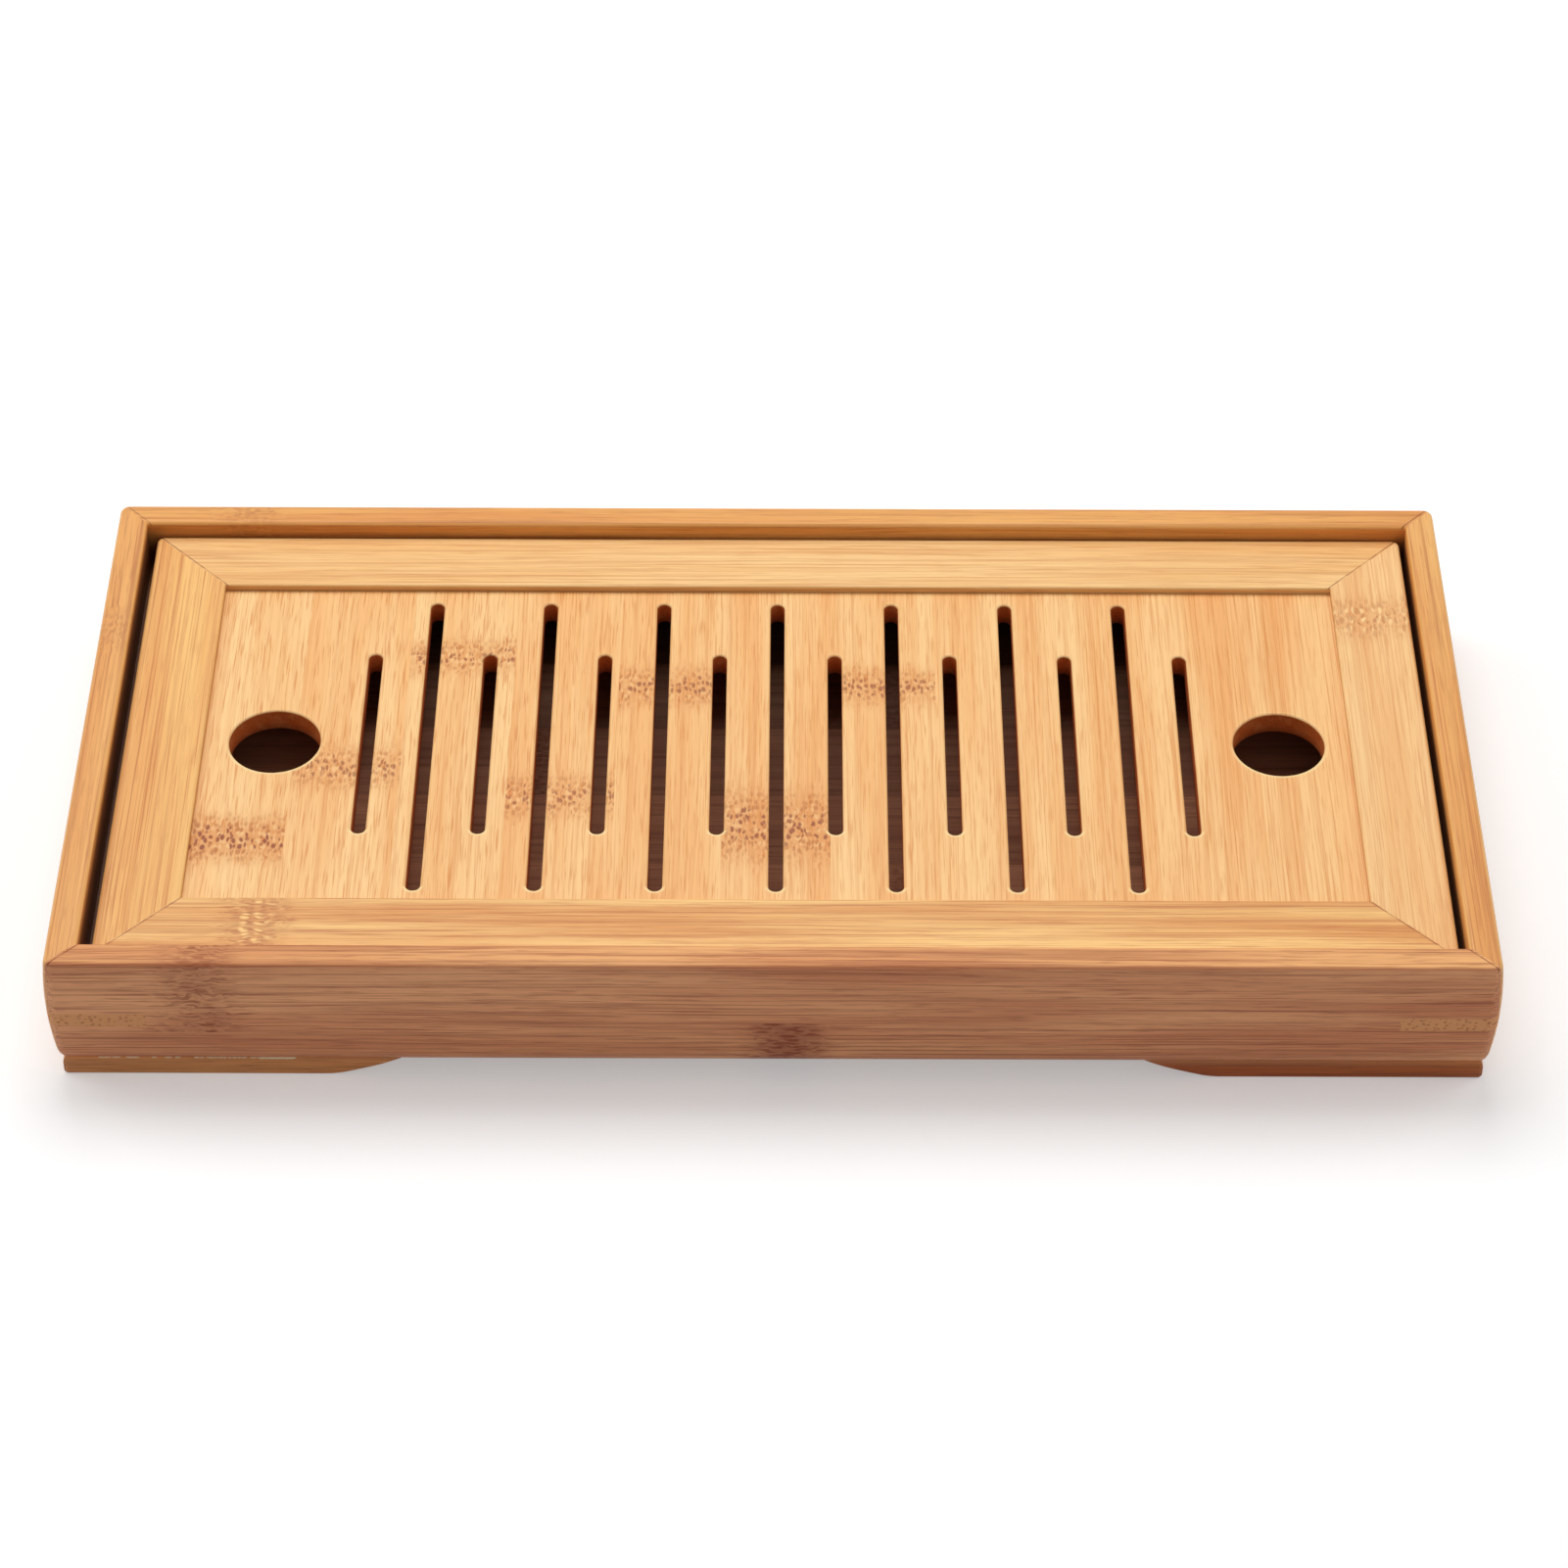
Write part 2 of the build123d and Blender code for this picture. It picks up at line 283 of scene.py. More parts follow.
    colour = mixed(rise(tone, 0.36, 0.66), given["Body"], given["Pale"])
    colour = mixed(math("MULTIPLY", rise(pale_line, 0.50, 0.74), 0.55), colour, given["Pale"])
    colour = mixed(math("MULTIPLY", rise(streak, 0.46, 0.74), given["Streak Share"]), colour, given["Dark"])
    hairlines = math("MULTIPLY", rise(hairline, 0.50, 0.72), given["Hairline Share"])
    colour = mixed(hairlines, colour, given["Dark"])
    colour = mixed(math("MULTIPLY", dash, dash_share), colour, given["Dark"])

    # The band is browner. Its cut fibre ends stand in staggered rows of short dark marks, each with a
    # pale one beside it, and the darkest keep to the middle of the band.
    def marks(shift, low, high):
        """Short marks in rows, and a number from 0 to 1 that each mark draws for itself."""
        each_way = add_node(tree, "ShaderNodeCombineXYZ", {0: math("DIVIDE", 1.0, given["Mark Length"]),
                                                           1: 1.1, 2: 1.1}).outputs[0]
        moved = vector("ADD", flow, (shift, shift / 2, shift / 2))
        cells = add_node(tree, "ShaderNodeTexVoronoi", {"Vector": vector("MULTIPLY", moved, each_way),
                                                        "Scale": 1.0, "Randomness": 0.75})
        drawn = add_node(tree, "ShaderNodeSeparateColor", {0: cells.outputs["Color"]}).outputs[0]
        return rise(cells.outputs["Distance"], low, high, 1.0, 0.0), drawn

    band = math("MULTIPLY", near_knuckle, share)
    colour = mixed(math("MULTIPLY", band, 0.65), colour, given["Dark"])
    pale_mark, pale_drawn = marks(0.8, 0.25, 0.58)
    cell = math("MULTIPLY", math("MULTIPLY", pale_mark, rise(pale_drawn, 0.2, 0.5)), in_knuckle)
    colour = mixed(math("MULTIPLY", cell, given["Cell Share"]), colour, given["Pale"])
    dark_mark, dark_drawn = marks(0.0, 0.26, 0.54)
    brown = math("MULTIPLY", math("MULTIPLY", dark_mark, rise(distance, 3.0, 8.0, 1.0, 0.0)), share)
    brown_tone = mixed(0.4, given["Dark"], given["Speck"])
    colour = mixed(math("MULTIPLY", brown, 0.85), colour, brown_tone)
    inmost = rise(distance, 0.8, 4.0, 1.0, 0.1)
    chosen = rise(math("SUBTRACT", inmost, dark_drawn), 0.0, 0.15)
    speck = math("MULTIPLY", math("MULTIPLY", dark_mark, in_knuckle), chosen)
    colour = mixed(math("MULTIPLY", speck, given["Speck Share"]), colour, given["Speck"])

    # Sawn ends show the fibres as brown dots, rounded upward edges take the edge colour as wear and painted
    # highlight, and a glued seam is a thin dark line
    dots_each_way = (0.5, 2.3, 2.3)
    dots = add_node(tree, "ShaderNodeTexVoronoi", {"Vector": vector("MULTIPLY", own_place, dots_each_way),
                                                   "Scale": math("DIVIDE", 1.0, given["Dot Size"])})
    dots = dots.outputs["Distance"]
    patch = fibres(own_place, along=0.2, across=0.5, detail=2, shift=83.0)
    dotted = mixed(rise(dots, 0.12, 0.45, 0.6, 0.0), given["End"], given["Speck"])
    dotted = mixed(rise(patch, 0.45, 0.75, 0.0, 0.2), dotted, given["Body"])
    colour = mixed(math("MULTIPLY", given["End Grain"], 0.97), colour, dotted)
    colour = mixed(given["Wear And Highlight"], colour, given["Edge"])
    broken_seam = math("MULTIPLY", given["Seam"], rise(patch, 0.30, 0.60, 0.35, 0.85))
    colour = mixed(broken_seam, colour, given["Speck"])
    # Painted shade: walls deep in gaps and slots take the dark shade colour
    colour = mixed(given["Stain"], colour, given["Stained"])

    # Dark streaks, hairlines and pale cells stand a little higher, and seams, dashes and specks lower
    height = math("MULTIPLY_ADD", streak, 0.4, math("MULTIPLY", hairline, 0.5))
    height = math("SUBTRACT", height, math("MULTIPLY", given["Seam"], 1.5))
    height = math("SUBTRACT", height, math("MULTIPLY", math("MULTIPLY", dash, given["Dash Share"]), 0.6))
    height = math("MULTIPLY_ADD", cell, 0.8, height)
    height = math("SUBTRACT", height, math("MULTIPLY", math("MULTIPLY", speck, given["Speck Share"]), 0.9))
    roughness = math("MULTIPLY_ADD", hairline, 0.22, 0.32)
    roughness = math("MULTIPLY_ADD", given["End Grain"], 0.25, roughness)
    roughness = math("MULTIPLY_ADD", given["Wear And Highlight"], -0.08, roughness)

    add_node(tree, "NodeGroupOutput", {"Colour": colour, "Roughness": roughness, "Height": height})
    return tree


figure = bamboo_figure()
grain_turn = {"X": 0, "Y": -90, "mitre": -45}


def shade(red, green, blue):
    """A colour that is written from 0 to 255, as the shader takes it."""
    linear = [value / 255 / 12.92 if value <= 10 else ((value / 255 + 0.055) / 1.055) ** 2.4
              for value in (red, green, blue)]
    return (*linear, 1.0)


def mitre_seam(rail):
    """The two numbers that place the saw line of this rail's corners.

    The first is how far it is off the middle, and the second how much further from the middle it runs
    along the tray than across it.
    """
    low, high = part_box(rail)
    return (low.x + high.x) / 2 / millimetre, ((high.x - low.x) / 2 + low.y) / millimetre


def painted_gap_shade(walls, begins, dark_at, lowest=0.0):
    """Painted shade on the outer, inner or cut walls of a piece, deep in the gaps and slots.

    The painted shade begins to darken them at the first level, is dark at the second, and stops under the
    lowest.
    """
    return dict(walls=walls, begins=begins, dark_at=dark_at, lowest=lowest)


def bamboo(name, grain, seed, pale, body, dark, end, edge, knuckles=(), seam=None, wear_highlight_share=0.5, relief=0.03,
           stains=(), stained=(84, 38, 14), outer=None, routed=None, gloss=0.35, **shares):
    """Varnished bamboo with its fibres along the grain axis and its knuckles at these places on it.

    Outer is the share of red, green and blue that the wall facing out from the tray keeps. Routed is a
    function that draws the painted highlight line round the cuts in the piece, whose walls are all brown.
    Shares are any other inputs of the figure.
    """
    material, tree = empty_material(name)
    math = maths(tree)

    def vector(operation, first, second):
        return add_node(tree, "ShaderNodeVectorMath", {0: first, 1: second}, operation=operation).outputs

    where = add_node(tree, "ShaderNodeTexCoord", {}).outputs["Object"]
    spot = add_node(tree, "ShaderNodeSeparateXYZ", {0: where}).outputs
    turn, scale = (0, 0, radians(grain_turn[grain])), (1 / millimetre,) * 3
    place = add_node(tree, "ShaderNodeMapping", {"Vector": where, "Rotation": turn,
                                                 "Scale": scale}).outputs[0]
    facing = add_node(tree, "ShaderNodeNewGeometry", {}).outputs["Normal"]
    normal = add_node(tree, "ShaderNodeSeparateXYZ", {0: facing}).outputs
    flat = vector("MULTIPLY", facing, (1, 1, 0))[0]
    outward = vector("DOT_PRODUCT", flat, where)["Value"]
    sizes = [math("ABSOLUTE", normal[axis]) for axis in range(3)]

    # Which faces are sawn across the fibres, and which rounded edges facing up are painted pale, as wear and
    # painted highlight
    end_grain = 1.0
    if routed:
        end_grain = ramp(tree, sizes[2], 0.5, 0.15)
    elif grain in "XY":
        end_grain = ramp(tree, sizes["XY".index(grain)], 0.55, 0.95)
    most = math("MAXIMUM", math("MAXIMUM", sizes[0], sizes[1]), sizes[2])
    slant = ramp(tree, most, 0.95, 0.78, 0.0, wear_highlight_share)
    upward = ramp(tree, normal[2], 0.1, 0.5)
    wear_and_highlight = math("MULTIPLY", slant, upward)
    if routed:
        not_wall = math("MINIMUM", math("MULTIPLY", normal[2], 3.5), 1.0)
        not_wall = math("MAXIMUM", not_wall, 0.0)
        wear_and_highlight = math("MAXIMUM", wear_and_highlight, math("MULTIPLY", routed(math, spot), not_wall))

    far_away = -1000.0
    first, second = (list(knuckles) + [far_away, far_away])[:2]
    inputs = {"Place": place, "Seed": seed, "End Grain": end_grain, "Wear And Highlight": wear_and_highlight,
              "Pale": shade(*pale), "Body": shade(*body), "Dark": shade(*dark), "Speck": shade(140, 62, 20),
              "End": shade(*end), "Edge": shade(*edge), "Stained": shade(*stained), "Streak Share": 0.5,
              "Hairline Share": 0.4, "Dash Share": 0.3, "Knuckle": first, "Second Knuckle": second,
              "First Above": far_away, "Second Below": -far_away, "Knuckle Width": 1.0, "Knuckle Share": 0.6,
              "Second Share": 0.6, "Mark Length": 1.9, "Speck Share": 0.8, "Cell Share": 0.5, "Dot Size": 1.0}

    # Painted shade: the walls deep in the gaps and slots are darkened downwards, where shade falls
    darkest, near_middle, off_middle = 0.92, 1 * millimetre, 5 * millimetre
    dark_parts = []
    for gap_shade in stains:
        walls = end_grain
        if gap_shade["walls"] == "outer":
            walls = ramp(tree, outward, near_middle, off_middle)
        elif gap_shade["walls"] == "inner":
            walls = ramp(tree, outward, off_middle, near_middle)
        deep = ramp(tree, spot[2], gap_shade["begins"] * millimetre, gap_shade["dark_at"] * millimetre, 0.0, darkest,
                    "SMOOTHSTEP")
        over = math("GREATER_THAN", spot[2], gap_shade["lowest"] * millimetre)
        dark_parts.append(math("MULTIPLY", math("MULTIPLY", walls, deep), over))
    if dark_parts:
        inputs["Stain"] = math("MAXIMUM", dark_parts[0], dark_parts[-1])

    if seam:
        seam_core, seam_reach = 0.08 * millimetre, 0.26 * millimetre
        aside = math("ABSOLUTE", math("SUBTRACT", spot[0], seam[0] * millimetre))
        ahead = math("SUBTRACT", math("SUBTRACT", aside, math("ABSOLUTE", spot[1])), seam[1] * millimetre)
        inputs["Seam"] = ramp(tree, math("ABSOLUTE", ahead), seam_core, seam_reach, upward, 0.0)
    inputs.update({key.replace("_", " ").title(): value for key, value in shares.items()})
    drawn = add_node(tree, "ShaderNodeGroup", inputs, node_tree=figure)
    colour = drawn.outputs["Colour"]
    if outer:
        inner_side, outer_side = 20 * millimetre, 50 * millimetre
        outside = ramp(tree, outward, inner_side, outer_side)
        colour = blended(tree, outside, colour, (*outer, 1.0), "MULTIPLY")
    bump = add_node(tree, "ShaderNodeBump", {"Height": drawn.outputs["Height"], "Strength": 1.0,
                                             "Distance": relief * millimetre})
    varnished = add_node(tree, "ShaderNodeBsdfPrincipled", {
        "Base Color": colour, "Roughness": drawn.outputs["Roughness"], "Normal": bump.outputs[0],
        "Specular IOR Level": gloss, "Coat Weight": gloss / 6, "Coat Roughness": 0.3})
    add_node(tree, "ShaderNodeOutputMaterial", {"Surface": varnished.outputs[0]})
    return material


def give(node, material):
    """The piece takes this material on all its faces."""
    mesh = frame["nodes"][node].data
    mesh.materials.clear()
    mesh.materials.append(material)


# Below this level the floor hides the rails' inner walls, and they get no painted shade
unshaded_below = 9.0
rim_looks = {
    "front": dict(grain="X", seed=1.0, pale=(250, 186, 122), body=(222, 149, 95), dark=(158, 88, 56),
                  edge=(184, 108, 66), outer=(0.95, 0.89, 1.09), gloss=0.15, knuckles=(-107, 2.5),
                  first_above=12.5, second_below=16.0, knuckle_width=1.1, knuckle_share=0.42,
                  second_share=1.0, mark_length=4.5, streak_share=0.5, hairline_share=0.75, dash_share=0.4,
                  speck_share=0.25, cell_share=0.14),
    "right": dict(grain="Y", seed=2.0, pale=(243, 184, 108), body=(232, 160, 85), dark=(178, 94, 40),
                  edge=(252, 198, 118), hairline_share=0.55,
                  stains=(painted_gap_shade("inner", 28.2, 25.4, unshaded_below),)),
    "back": dict(grain="X", seed=3.0, pale=(240, 174, 94), body=(228, 150, 74), dark=(172, 94, 36),
                 edge=(246, 182, 100), knuckles=(-108,), knuckle_share=0.2, speck_share=0.1, cell_share=0.2),
    "left": dict(grain="Y", seed=4.0, pale=(243, 179, 102), body=(226, 151, 78), dark=(168, 88, 38),
                 edge=(252, 198, 120), knuckles=(28,), knuckle_share=0.18, speck_share=0.1, cell_share=0.2,
                 hairline_share=0.55, stains=(painted_gap_shade("inner", 29.8, 26.8, unshaded_below),),
                 stained=(96, 46, 18)),
}
# Each rail's inner wall gets painted shade in the gap round the lid, darker further down
for side, looks in rim_looks.items():
    wanted = dict(end=(196, 112, 48), stains=(painted_gap_shade("inner", 29.2, 22.5, unshaded_below),))
    wanted.update(looks)
    give("rim_rail_" + side, bamboo("rim_bamboo_" + side, seam=mitre_seam("rim_rail_front"), **wanted))


# Splines: thin triangles of bamboo glued into a saw cut across each mitre and planed flush, so that
# their sawn ends show as a dotted bar on both faces of the corner.
spline_look = dict(grain="mitre", pale=(242, 186, 130), body=(224, 160, 108), dark=(162, 100, 62),
                   end=(226, 159, 107), edge=(230, 166, 114), dot_size=1.7, gloss=0.2)
for corner, seed in (("front_left", 11.0), ("front_right", 12.0), ("back_left", 13.0), ("back_right", 14.0)):
    give("corner_key_" + corner, bamboo("spline_bamboo_" + corner, seed=seed, **spline_look))


# Basin floor: six strips of bamboo, glued edge to edge and held in the rails' groove. They lie in
# the shade of the lid, and each strip further back is painted darker, as painted shade.
floor_colours = dict(pale=(180, 128, 98), body=(160, 110, 84), dark=(114, 72, 52), end=(134, 86, 62),
                     edge=(180, 128, 98))
front_tone, painted_shade_step = 1.5, 0.13
knuckle_step, knuckle_span = 67, 210
for number in range(1, 7):
    tone = front_tone - painted_shade_step * number
    shaded_colours = {part: tuple(tone * value for value in colour) for part, colour in floor_colours.items()}
    knuckle = number * knuckle_step % knuckle_span - knuckle_span / 2
    give("floor_strip_%d" % number, bamboo("floor_bamboo_%d" % number, "X", 20.0 + number, **shaded_colours,
                                           knuckles=(knuckle,), speck_share=0.3, gloss=0.05))


# Bracket feet: two blocks of the rim's bamboo mitred under each corner, coved and glued to its
# underside. The sharp edges of the sawn pieces are eased by a hair with sandpaper.
foot_ease = 0.15 * millimetre
crisp_turn = radians(38)


def eased(node, ease):
    """A copy of the piece with its sharp edges rounded over."""
    same_place, same_plane, sharp_turn = 0.001 * millimetre, radians(0.4), radians(28)
    mesh = frame["nodes"][node].data.copy()
    work = bmesh.new()
    work.from_mesh(mesh)
    bmesh.ops.remove_doubles(work, verts=work.verts, dist=same_place)
    bmesh.ops.dissolve_limit(work, angle_limit=same_plane, verts=work.verts, edges=work.edges)
    sharp = [edge for edge in work.edges
             if len(edge.link_faces) == 2 and edge.calc_face_angle() > sharp_turn]
    rounds = set(bmesh.ops.bevel(work, geom=sharp, offset=ease, segments=2, profile=0.5,
                                 affect="EDGES", clamp_overlap=False)["faces"])
    for face in work.faces:
        face.smooth = True
    for edge in work.edges:
        edge.smooth = (len({face in rounds for face in edge.link_faces}) == 1
                       and edge.calc_face_angle() < crisp_turn)
    work.to_mesh(mesh)
    work.free()
    return finished(node + "_eased", mesh, frame["nodes"][node]["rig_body"], node)


def finished(name, mesh, body, node=None):
    """The mesh as a piece that rides this body, in the place of the node where one is named."""
    piece = bpy.data.objects.new(name, mesh)
    bpy.context.scene.collection.objects.link(piece)
    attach(piece, body)
    if node:
        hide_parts(node)
    return piece


plain_foot = dict(pale=(220, 154, 92), body=(192, 120, 62), dark=(128, 70, 30), end=(150, 84, 38),
                  edge=(224, 156, 92), dash_share=0.35)
foot_looks = {
    "front_left": dict(plain_foot, pale=(244, 178, 112), body=(222, 146, 85)),
    "front_right": dict(plain_foot, pale=(206, 120, 54), body=(178, 88, 32), dark=(116, 52, 18)),
    "back_left": plain_foot,
    "back_right": plain_foot,
}
for number, (corner, looks) in enumerate(foot_looks.items()):
    for part, grain, first_seed in (("long", "X", 30.0), ("short", "Y", 35.0)):
        place = "%s_%s" % (corner, part)
        foot = eased("foot_" + place, foot_ease)
        foot.data.materials.clear()
        foot.data.materials.append(bamboo("foot_bamboo_" + place, grain, first_seed + number, **looks))


# Squeezed-out glue: it stands as a thin broken bead along the joint over the front left foot, and as
# specks where the panel meets the lid rails. It has dried hard, and cloudy between amber and cream.
def tree_of(name, inputs):
    """An empty tree of geometry nodes with these named inputs, its input node and its output node."""
    tree = bpy.data.node_groups.new(name, "GeometryNodeTree")
    tree.is_modifier = True
    for label, kind in inputs:
        tree.interface.new_socket(label, in_out="INPUT", socket_type="NodeSocket" + kind)
    tree.interface.new_socket("Geometry", in_out="OUTPUT", socket_type="NodeSocketGeometry")
    return tree, tree.nodes.new("NodeGroupInput").outputs, tree.nodes.new("NodeGroupOutput")


def made_by(tree, name, values):
    """The plain mesh that the tree makes from these values."""
    blank = bpy.data.objects.new(name + "_blank", bpy.data.meshes.new(name + "_blank"))
    bpy.context.scene.collection.objects.link(blank)
    rule = blank.modifiers.new("rule", "NODES")
    rule.node_group = tree
    sockets = {item.name: item.identifier for item in tree.interface.items_tree if item.in_out == "INPUT"}
    for label, value in values.items():
        rule[sockets[label]] = value
    ready = blank.evaluated_get(bpy.context.evaluated_depsgraph_get())
    mesh = bpy.data.meshes.new_from_object(ready)
    mesh.name = name
    bpy.data.objects.remove(blank)
    return mesh


def glue_drops():
    """Drops of glue at even steps from Start to End, with some left out and each of its own length."""
    tree, given, result = tree_of("glue_drops", (
        ("Start", "Vector"), ("End", "Vector"), ("Count", "Int"), ("Shortest", "Float"), ("Longest", "Float"),
        ("Thickness", "Float"), ("Kept Share", "Float"), ("Seed", "Int"), ("Glue", "Material")))
    waves_per_metre, wave_height = 900.0, 0.1 * millimetre
    line = add_node(tree, "GeometryNodeMeshLine", {"Count": given["Count"], "Start Location": given["Start"],
                                                   "Offset": given["End"]}, mode="END_POINTS")
    spots = add_node(tree, "GeometryNodeMeshToPoints", {"Mesh": line.outputs[0]})
    keep = add_node(tree, "FunctionNodeRandomValue", {"Probability": given["Kept Share"],
                                                      "Seed": given["Seed"]}, data_type="BOOLEAN")
    length = add_node(tree, "FunctionNodeRandomValue", {2: given["Shortest"], 3: given["Longest"],
                                                        "Seed": given["Seed"]}, data_type="FLOAT")
    size = add_node(tree, "ShaderNodeCombineXYZ", {0: length.outputs[1], 1: given["Thickness"],
                                                   2: given["Thickness"]})
    drop = add_node(tree, "GeometryNodeMeshIcoSphere", {"Radius": 0.5, "Subdivisions": 3})
    drops = add_node(tree, "GeometryNodeInstanceOnPoints", {
        "Points": spots.outputs[0], "Selection": keep.outputs[3], "Instance": drop.outputs[0],
        "Scale": size.outputs[0]})
    plain = add_node(tree, "GeometryNodeRealizeInstances", {0: drops.outputs[0]})
    waviness = add_node(tree, "ShaderNodeTexNoise", {"Scale": waves_per_metre, "Detail": 1.0})
    middle = add_node(tree, "ShaderNodeVectorMath", {0: waviness.outputs["Color"], 1: (0.5, 0.5, 0.5)},
                      operation="SUBTRACT")
    push = add_node(tree, "ShaderNodeVectorMath", {0: middle.outputs[0], 1: (wave_height,) * 3},
                    operation="MULTIPLY")
    wavy = add_node(tree, "GeometryNodeSetPosition", {0: plain.outputs[0], "Offset": push.outputs[0]})
    smooth = add_node(tree, "GeometryNodeSetShadeSmooth", {0: wavy.outputs[0]})
    painted = add_node(tree, "GeometryNodeSetMaterial", {0: smooth.outputs[0], "Material": given["Glue"]})
    tree.links.new(painted.outputs[0], result.inputs[0])
    return tree


def dried_glue():
    """Hard glue, glossier where it is more amber."""
    clouds_per_metre, relief = 1200.0, 0.01 * millimetre
    material, tree = empty_material("dried_glue")
    where = add_node(tree, "ShaderNodeTexCoord", {}).outputs["Object"]
    cloud = add_node(tree, "ShaderNodeTexNoise", {"Vector": where, "Scale": clouds_per_metre,
                                                  "Detail": 2.0}).outputs["Fac"]
    bump = add_node(tree, "ShaderNodeBump", {"Height": cloud, "Distance": relief})
    cured = add_node(tree, "ShaderNodeBsdfPrincipled", {
        "Base Color": blended(tree, cloud, shade(226, 190, 130), shade(250, 236, 206)),
        "Roughness": ramp(tree, cloud, 0.0, 1.0, 0.25, 0.5), "Normal": bump.outputs[0]})
    add_node(tree, "ShaderNodeOutputMaterial", {"Surface": cured.outputs[0]})
    return material


glue_rule = glue_drops()
glue_finish = dried_glue()
foot_low, foot_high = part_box("foot_front_left_long")
bead = dict(body="tray", y=foot_low.y / millimetre + 0.60, z=foot_high.z / millimetre)
speck = dict(body="lid", y=51.3, z=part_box("lid_strip_01")[1].z / millimetre, count=2, shortest=0.5,
             thickness=0.5, kept_share=1.0)
glue_pieces = {
    "glue_bead_long": dict(bead, left=-127.5, right=-98.0, count=34, shortest=0.6, longest=1.9,
                           thickness=0.40, kept_share=0.62, seed=3),
    "glue_bead_bright": dict(bead, left=-96.4, right=-90.8, count=7, shortest=1.2, longest=2.2,
                             thickness=0.70, kept_share=0.95, seed=5),
    "glue_speck_middle": dict(speck, y=51.35, left=-85.8, right=-85.0, longest=0.9, seed=7),
    "glue_speck_corner": dict(speck, left=111.5, right=112.2, longest=0.8, seed=9),
}
for name, drops in glue_pieces.items():
    start, end = [Vector([drops[part] * millimetre for part in (side, "y", "z")])
                  for side in ("left", "right")]
    finished(name, made_by(glue_rule, name, {
        "Start": start, "End": end, "Count": drops["count"], "Shortest": drops["shortest"] * millimetre,
        "Longest": drops["longest"] * millimetre, "Thickness": drops["thickness"] * millimetre,
        "Kept Share": drops["kept_share"], "Seed": drops["seed"], "Glue": glue_finish}), drops["body"])


# Lid rails: four flat rails of close-fibred bamboo, mitred at the corners and glued round the panel,
# whose tongue sits in their groove. The lid lies loose on the rim's ledge and lifts out by two fingers.
lid_looks = {
    "front": dict(grain="X", seed=41.0, pale=(255, 206, 130), body=(226, 155, 83), dark=(180, 94, 40),
                  knuckles=(-97.0,), knuckle_width=0.95, mark_length=2.5, knuckle_share=0.4, speck_share=0.1,
                  cell_share=1.0, hairline_share=0.8),
    "right": dict(grain="Y", seed=42.0, pale=(254, 210, 146), body=(246, 190, 124), dark=(214, 132, 66),
                  knuckles=(36.3,), mark_length=2.8, knuckle_share=0.5, speck_share=0.12, cell_share=1.0,
                  streak_share=0.32, hairline_share=0.5),
    "back": dict(grain="X", seed=43.0, pale=(253, 208, 142), body=(244, 188, 118), dark=(206, 132, 62)),
    "left": dict(grain="Y", seed=44.0, pale=(250, 197, 118), body=(238, 171, 94), dark=(192, 106, 44),
                 hairline_share=0.75),
}
# Painted shade on the lid rails' outer walls in the gap by the rim, and on their inner walls round the panel
lid_gap_shades = (painted_gap_shade("outer", 26.2, 23.0), painted_gap_shade("inner", 26.8, 23.5))
for side, looks in lid_looks.items():
    wanted = dict(end=(206, 122, 50), edge=(250, 206, 136), relief=0.012, streak_share=0.42,
                  hairline_share=0.7)
    wanted.update(looks)
    give("lid_rail_" + side, bamboo("lid_rail_bamboo_" + side, seam=mitre_seam("lid_rail_front"),
                                    stains=lid_gap_shades, **wanted))


